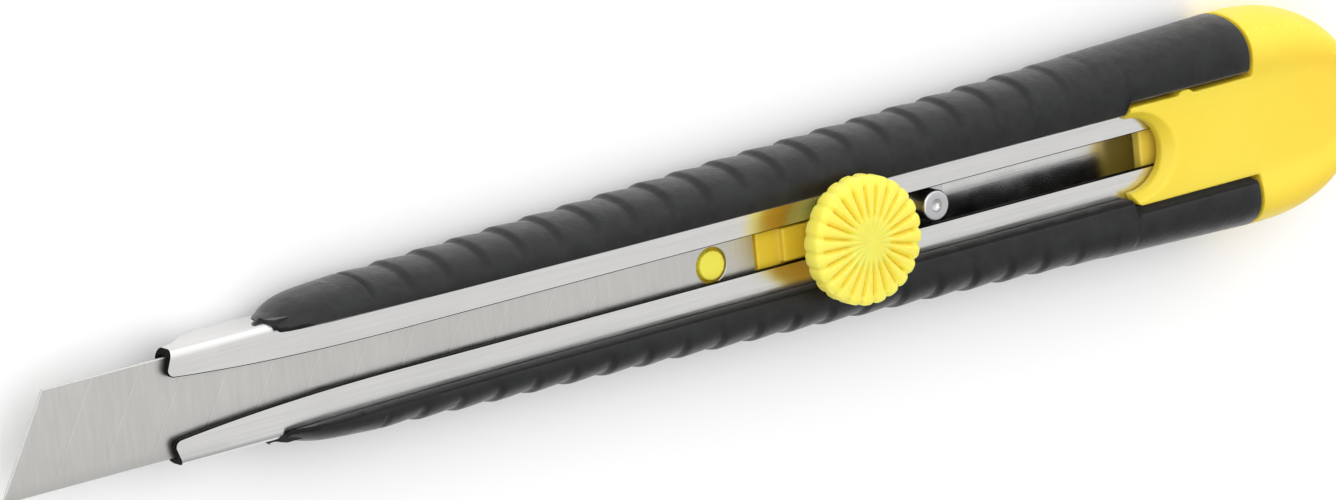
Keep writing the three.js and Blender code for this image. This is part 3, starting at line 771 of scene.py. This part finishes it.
# ---------- end cap ----------
CAP_FRONT_X = GRIP_HI.x + FIT
CAP_TURN = 135.8 + POINT_X  # the straight sides end and the round end starts here
CAP_ROUNDNESS = 2.4  # 2 would make the end's plan an ellipse
CAP_END_WIDTH = 0.2  # share of the width left at the very end
CAP_END_HEIGHT = 0.4  # share of the height left there
CAP_STEPS = 36
CAP_VOXEL = 0.13
TONGUE_HALF_WIDTH = 4.65
BITE_LENGTH = 3.9
BITE_HALF_WIDTH = 3.5
BITE_CHAMFER = 0.95
NIB_FROM_FRONT = 6.6
NIB_R = 0.8
NIB_REACH = 0.42  # how far it stands out of the tongue
PLUG_FROM_FRONT = 2.9
PLUG_EDGE = 1.1  # height of the plug's front edge, behind which its underside slopes down
PLUG_SLOPE = 2.9  # length of that slope
PLUG_HALF_WIDTH = 4.4


def cap_ring(x):
    t = clamp01((x - CAP_TURN) / (CAP_HI.x - CAP_TURN))
    fullness = (1 - t ** CAP_ROUNDNESS) ** (1 / CAP_ROUNDNESS)
    width = GRIP_HI.y * max(CAP_END_WIDTH, fullness)
    middle = (GRIP_LO.z + GRIP_HI.z) / 2
    height = (middle - GRIP_LO.z) * max(CAP_END_HEIGHT, math.sqrt(fullness))
    half = [(y * width, middle + (2 * z - 1) * height) for y, z in CURVE[1:-1]]
    return [(x, y, z) for y, z in half] + [(x, -y, z) for y, z in reversed(half)]


def tongue_outline():
    """The tongue's plan: two horns round the bite, with a small nib on the spine side."""
    x0, y = CAP_LO.x, TONGUE_HALF_WIDTH
    points = [(CAP_TURN + 1, -y), (CAP_TURN + 1, y)]
    nib_x = x0 + NIB_FROM_FRONT
    for i in range(13):
        a = math.pi * i / 12
        points.append((nib_x + NIB_R * math.cos(a), y - 0.05 + NIB_REACH * math.sin(a)))
    points += [(x0 + 0.5, y), (x0 + 0.15, y - 0.1), (x0 + 0.1, y - 0.4)]
    for i in range(25):
        a = math.pi / 2 - math.pi * i / 24
        points.append((x0 + BITE_LENGTH * max(0.0, math.cos(a)) ** 0.9, BITE_HALF_WIDTH * math.sin(a)))
    return points + [(x0 + 0.1, -y + 0.6), (x0 + 0.25, -y + 0.2), (x0 + 0.6, -y)]


def bite_chamfer(top):
    """A cutter that slopes the tongue's top down to the bite's edge."""
    rings = []
    for z, grown in ((top - BITE_CHAMFER, 0.0), (top + 0.2, BITE_CHAMFER + 0.2)):
        a, b = BITE_LENGTH + grown * 1.1, BITE_HALF_WIDTH + grown * 0.75
        angles = [2 * math.pi * i / 64 for i in range(64)]
        rings.append([(CAP_LO.x + a * math.cos(t), b * math.sin(t), z) for t in angles])
    return loft(rings)


def plug_mesh(back):
    """The cap's plug inside the channel, from its front edge to back."""
    front = CAP_LO.x + PLUG_FROM_FRONT
    low, high = CHANNEL_LO.z + SHEET + FIT, CHANNEL_HI.z - SHEET - FIT
    side = ((front, high), (front, high - PLUG_EDGE), (front + PLUG_SLOPE, low), (back, low), (back, high))
    return loft([[(x, y, z) for x, z in side] for y in (PLUG_HALF_WIDTH, -PLUG_HALF_WIDTH)])


def cap_mesh():
    places = [CAP_FRONT_X, CAP_FRONT_X + 0.5]
    for i in range(CAP_STEPS + 1):
        places.append(CAP_TURN + (CAP_HI.x - CAP_TURN) * math.sin(i / CAP_STEPS * math.pi / 2))
    shell = raw_mesh("cap", [loft([cap_ring(x) for x in places])])
    channel_end = CHANNEL_HI.x + FIT
    socket_y, roof = CHANNEL_HI.y + FIT, CHANNEL_HI.z + PLAY
    socket = box_mesh(CAP_FRONT_X - 1, channel_end, -socket_y, socket_y, CHANNEL_LO.z - FIT, roof)
    tongue_top = mix(GRIP_LO.z, GRIP_HI.z, MIDDLE_HEIGHT)
    tongue = slab_mesh(tongue_outline(), roof, tongue_top)
    joined = boolean(boolean(shell, [socket]), [tongue], "UNION")
    joined = boolean(joined, [bite_chamfer(tongue_top)])
    joined = boolean(joined, [plug_mesh(channel_end + 1)], "UNION")
    return apply_modifiers(joined, [
        ("REMESH", {"mode": "VOXEL", "voxel_size": CAP_VOXEL}),
        ("SMOOTH", {"factor": 0.5, "iterations": 3}),
    ])


def mark_plug(mesh):
    """Gives the plug's front, which shows through the bite, the second material: a paler copy of the cap's
    plastic, painted light on the shaded plug.
    """
    for face in mesh.polygons:
        c = face.center
        if c.x < CAP_LO.x + PLUG_FROM_FRONT + PLUG_SLOPE and c.z < CHANNEL_HI.z - SHEET:
            face.material_index = 1


# ---------- slider ----------
SLIDER_VOXEL = 0.12
BOSS_R = 1.35
RIB_HALF_WIDTH = 1.55
RIB_HALF_LENGTH = 5.5
SCREW_HOLE_R = 1.65


def slider_mesh():
    y = SLIDER_HI.y
    under = SLIDER_LO.z
    bed_top = BLADE_LO.z - PLAY
    back_top = CHANNEL_HI.z - SHEET - PLAY
    body = raw_mesh("slider", [box_mesh(SLIDER_LO.x, SLIDER_HI.x, -y, y, under, bed_top)])
    back = box_mesh(BLADE_HI.x + FIT, SLIDER_HI.x, -y, y, under, back_top)
    rib = box_mesh(WHEEL_X - RIB_HALF_LENGTH, WHEEL_X + RIB_HALF_LENGTH, -RIB_HALF_WIDTH, RIB_HALF_WIDTH,
                   under, SLIDER_HI.z)
    boss = post_mesh(POINT_X + BLADE_HOLE_X, BLADE_HOLE_Y, BOSS_R, under, BLADE_HI.z + PLAY)
    for part in (back, rib, boss):
        body = boolean(body, [part], "UNION")
    plate_lo, plate_hi = in_mm("carrier_plate")
    pocket_y = plate_hi.y + PLAY
    pocket = box_mesh(plate_lo.x - FIT, SLIDER_HI.x + 1, -pocket_y, pocket_y, under - 1, plate_hi.z + 0.1)
    screw_hole = post_mesh(WHEEL_X, 0, SCREW_HOLE_R, under - 1, SLIDER_HI.z + 1)
    for part in (pocket, screw_hole):
        body = boolean(body, [part])
    return apply_modifiers(body, [
        ("REMESH", {"mode": "VOXEL", "voxel_size": SLIDER_VOXEL}),
        ("SMOOTH", {"factor": 0.5, "iterations": 2}),
    ])


def mark_boss(mesh):
    """Gives the boss in the blade's hole, which the wheel doesn't shade, the second material: a paler copy of
    the slider's plastic as painted light, beside the body's deeper amber, which is painted shade.
    """
    for face in mesh.polygons:
        c = face.center
        away = math.hypot(c.x - POINT_X - BLADE_HOLE_X, c.y - BLADE_HOLE_Y)
        if away < BOSS_R + 0.1 and c.z > BLADE_LO.z:
            face.material_index = 1


# ---------- locking wheel ----------
WHEEL_TEETH = 24
TOOTH_SAMPLES = 20
WHEEL_R = WHEEL_HI.x - WHEEL_X - 0.15  # a little smaller than in the CAD, as in the photo
WHEEL_EDGE_Z = 12.35  # of the crown, carried out to the rim
WHEEL_UNDER_Z = 10.15
CROWN_POWER = 2.2  # how late the crown falls towards the rim
CROWN_STEPS = 46
GROOVE_FROM, GROOVE_RUN_IN = 1.7, 1.3  # radius where the grooves start and the length over which they deepen
GROOVE_TO, GROOVE_RUN_OUT = 4.7, 0.7  # the same where they end
GROOVE_DEPTH = 0.42
GROOVE_HALF_WIDTH = 0.1
GROOVE_WIDENING = 0.016  # for each millimetre of radius
PETAL_CROWN = 0.16  # how far the petals' sides fall beside the grooves, at the rim
RIM_ROUND = 0.55  # radius of the rim's upper edge
UNDER_ROUND = 0.4  # radius of its lower edge
NICK_DEPTH = 0.16
NICK_HALF_WIDTH = 0.25
HUB_R = 3.2
BORE_R = 2.45
BORE_TOP_Z = 11.25


def groove_depth(r, off):
    """Depth of the wheel's radial grooves at radius r, off radians from the nearest groove's middle."""
    start = smoothstep((r - GROOVE_FROM) / GROOVE_RUN_IN)
    end = 1 - smoothstep((r - GROOVE_TO) / GROOVE_RUN_OUT)
    width = GROOVE_HALF_WIDTH + GROOVE_WIDENING * r
    return GROOVE_DEPTH * start * end * math.exp(-((off * r / width) ** 2))


def wheel_spoke(angle):
    """The wheel's profile at one angle, from the axis on top round to the axis inside the bore."""
    pitch = 2 * math.pi / WHEEL_TEETH
    off = (angle + pitch / 2) % pitch - pitch / 2
    rim = WHEEL_R - NICK_DEPTH * math.exp(-((off * WHEEL_R / NICK_HALF_WIDTH) ** 2))
    flat = rim - RIM_ROUND
    profile = []
    for i in range(1, CROWN_STEPS + 1):
        r = flat * i / CROWN_STEPS
        z = WHEEL_HI.z - (WHEEL_HI.z - WHEEL_EDGE_Z) * (r / WHEEL_R) ** CROWN_POWER
        petal = PETAL_CROWN * r / WHEEL_R * (1 - abs(2 * off / pitch)) ** 2
        profile.append((r, z - petal - groove_depth(r, off)))
    edge_z = profile[-1][1]
    for i in range(1, 9):
        a = math.pi / 2 * i / 8
        profile.append((flat + RIM_ROUND * math.sin(a), edge_z - RIM_ROUND * (1 - math.cos(a))))
    for i in range(6):
        a = math.pi / 2 * i / 5
        profile.append((rim - UNDER_ROUND * (1 - math.cos(a)),
                        WHEEL_UNDER_Z + UNDER_ROUND * (1 - math.sin(a))))
    under, foot = WHEEL_UNDER_Z, WHEEL_LO.z
    hub = [(HUB_R + 0.3, under), (HUB_R + 0.1, under - 0.1), (HUB_R, under - 0.3), (HUB_R, foot + 0.15),
           (HUB_R - 0.15, foot), (BORE_R + 0.1, foot), (BORE_R, foot + 0.1), (BORE_R, BORE_TOP_Z)]
    return profile + hub


def mark_underside(mesh):
    """Gives the faces that look down the second material: an oranger copy of the wheel's plastic with more
    glow, painted light so the shaded underside and its reflection in the steel look amber.
    """
    for face in mesh.polygons:
        if face.normal.z < -0.3:
            face.material_index = 1


def wheel_mesh():
    count = WHEEL_TEETH * TOOTH_SAMPLES
    rings = []
    for i in range(count):
        angle = 2 * math.pi * i / count
        rings.append([(WHEEL_X + r * math.cos(angle), r * math.sin(angle), z) for r, z in wheel_spoke(angle)])
    n = len(rings[0])
    verts = [p for ring in rings for p in ring] + [(WHEEL_X, 0, WHEEL_HI.z), (WHEEL_X, 0, BORE_TOP_Z)]
    top, bottom = count * n, count * n + 1
    faces = []
    for i in range(count):
        k = (i + 1) % count
        faces.append((top, i * n, k * n))
        faces.append((bottom, k * n + n - 1, i * n + n - 1))
        for j in range(n - 1):
            faces.append((i * n + j, i * n + j + 1, k * n + j + 1, k * n + j))
    return raw_mesh("wheel", [(verts, faces)])


# ---------- guide pin ----------
PIN_R = 1.45
PIN_ROUND = 0.28  # radius of the pin's upper edge
PIN_CHAMFER = 0.08
PIN_STEM_R = 0.75
RIVET_R = 1.15
RIVET_CHAMFER = 0.15
DIMPLE_R = 0.62
DIMPLE_DEPTH = 0.45


def turned_mesh(profile, x):
    """A profile of (radius, height) from axis to axis, turned about the upright line through x."""
    sides = 72
    inner = profile[1:-1]
    n = len(inner)
    verts = []
    for i in range(sides):
        a = 2 * math.pi * i / sides
        verts += [(x + r * math.cos(a), r * math.sin(a), z) for r, z in inner]
    verts += [(x, 0, profile[0][1]), (x, 0, profile[-1][1])]
    start, end = sides * n, sides * n + 1
    faces = []
    for i in range(sides):
        k = (i + 1) % sides
        faces.append((start, k * n, i * n))
        faces.append((end, i * n + n - 1, k * n + n - 1))
        for j in range(n - 1):
            faces.append((i * n + j, k * n + j, k * n + j + 1, i * n + j + 1))
    return verts, faces


def pin_mesh():
    plate_lo, plate_hi = in_mm("carrier_plate")
    shoulder, head = plate_hi.z + PLAY, plate_lo.z - PLAY
    top, bottom = PIN_HI.z, PIN_LO.z
    profile = [(0, bottom), (RIVET_R - RIVET_CHAMFER, bottom), (RIVET_R, bottom + RIVET_CHAMFER),
               (RIVET_R, head), (PIN_STEM_R, head), (PIN_STEM_R, shoulder),
               (PIN_R - PIN_CHAMFER, shoulder), (PIN_R, shoulder + PIN_CHAMFER)]
    for i in range(6):
        a = math.pi / 2 * i / 5
        profile.append((PIN_R - PIN_ROUND * (1 - math.cos(a)), top - PIN_ROUND * (1 - math.sin(a))))
    for i in range(7):
        a = math.pi / 2 * i / 7
        profile.append((DIMPLE_R * math.cos(a), top - DIMPLE_DEPTH * math.sin(a)))
    profile.append((0, top - DIMPLE_DEPTH))
    return raw_mesh("pin", [turned_mesh(profile, PIN_X)])


# ---------- the pieces ----------
channel = channel_mesh()
mark_cut_edges_and_painted_shade(channel)
piece("channel_sheet", channel, [channel_steel, cut_edge_painted_shade], "handle", "steel_channel")
piece("core_moulding", core_mesh(), [core_plastic], "handle", "handle_core")
for side, name in ((1, "upper_grip"), (-1, "lower_grip")):
    grip = grip_mesh(side)
    mark_inner_edge(grip)
    piece(name + "_moulding", grip, [grip_rubber, painted_shade_rubber], "handle", name, 55)
piece("blade_strip", blade_mesh(), [blade_steel], "slider", "blade", 12)
slider = slider_mesh()
mark_boss(slider)
piece("slider_moulding", slider, [slider_plastic, boss_painted_light_plastic], "slider", "blade_slider",
      80)
piece("pin_turning", pin_mesh(), [plated_steel], "slider", "guide_pin")
wheel = wheel_mesh()
mark_underside(wheel)
piece("wheel_moulding", wheel, [wheel_plastic, painted_glow_underside], "wheel", "thumb_wheel",
      60)
cap = cap_mesh()
mark_plug(cap)
piece("cap_moulding", cap, [cap_plastic, plug_painted_light_plastic], "cap", "end_cap", 80)

carried_over = (("carrier_plate", plated_steel), ("clamp_screw", plated_steel), ("wheel_insert", brass))
for node, material in carried_over:
    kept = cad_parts[node]
    kept.data.materials.clear()
    kept.data.materials.append(material)


# ---------- floor, light and camera ----------
FLOOR_HALF = 3.0  # metres, as the other lengths of this section
FLOOR_THICK = 0.02
KEY_PLACE = (-0.35, 0.1, 1.1)
KEY_SIZE = (1.5, 1.2)
KEY_POWER = 3.5  # watts
WORLD_DIM, WORLD_BRIGHT = 0.35, 1.7  # strengths on the cutting edge's side and on the spine's side


def stage_floor():
    verts, faces = box_mesh(-FLOOR_HALF, FLOOR_HALF, -FLOOR_HALF, FLOOR_HALF, -FLOOR_THICK, 0.0)
    mesh = bpy.data.meshes.new("floor")
    mesh.from_pydata(verts, [], faces)
    m = Nodes("pale_floor")
    colour = m.blend(m.ranged(m.noise(3, 2), 0, 1), (0.93, 0.93, 0.93), (0.95, 0.95, 0.95))
    m.done(colour, m.ranged(m.noise(40, 2), 0.85, 0.95), m.bump(m.noise(900, 2), 0.1, 0.00002))
    mesh.materials.append(m.material)
    floor = bpy.data.objects.new("floor", mesh)
    bpy.context.scene.collection.objects.link(floor)


def key_light():
    """A large soft light above the knife that faces its middle."""
    data = bpy.data.lights.new("key", "AREA")
    data.shape = "RECTANGLE"
    data.size, data.size_y = KEY_SIZE
    data.energy = KEY_POWER
    light = bpy.data.objects.new("key", data)
    bpy.context.scene.collection.objects.link(light)
    light.location = KEY_PLACE
    light.rotation_euler = (-Vector(KEY_PLACE)).to_track_quat("-Z", "Y").to_euler()


def camera():
    """The photo's camera: it looks at AIM from the side that yaw and pitch give, then rolls."""
    level = math.cos(CAMERA_PITCH)
    towards = Vector((math.sin(CAMERA_YAW) * level, math.sin(CAMERA_PITCH), math.cos(CAMERA_YAW) * level))
    right = Vector((0, 1, 0)).cross(towards).normalized()
    up = towards.cross(right)
    cos, sin = math.cos(CAMERA_ROLL), math.sin(CAMERA_ROLL)
    right, up = cos * right + sin * up, cos * up - sin * right
    data = bpy.data.cameras.new("camera")
    data.lens = FOCAL_MM
    data.sensor_width = SENSOR_MM
    data.clip_start, data.clip_end = 0.05, 20
    obj = bpy.data.objects.new("camera", data)
    bpy.context.scene.collection.objects.link(obj)
    basis = Matrix((right, up, towards)).transposed().to_4x4()
    basis.translation = (Vector(AIM) + towards * CAMERA_DISTANCE) * MM
    obj.matrix_world = basis
    bpy.context.scene.camera = obj


def world_light():
    """White light from all round, brighter towards the spine's side."""
    world = bpy.data.worlds.new("studio")
    world.use_nodes = True
    background = world.node_tree.nodes["Background"]
    nodes, links = world.node_tree.nodes, world.node_tree.links
    direction = nodes.new("ShaderNodeTexCoord").outputs["Generated"]
    parts = nodes.new("ShaderNodeSeparateXYZ")
    spread = nodes.new("ShaderNodeMapRange")
    spread.inputs["From Min"].default_value = -1
    spread.inputs["To Min"].default_value = WORLD_DIM
    spread.inputs["To Max"].default_value = WORLD_BRIGHT
    links.new(direction, parts.inputs["Vector"])
    links.new(parts.outputs["Y"], spread.inputs["Value"])
    links.new(spread.outputs["Result"], background.inputs["Strength"])
    background.inputs["Color"].default_value = (1, 1, 1, 1)
    bpy.context.scene.world = world


stage_floor()
world_light()
key_light()
camera()
bpy.context.scene.view_settings.view_transform = "Standard"
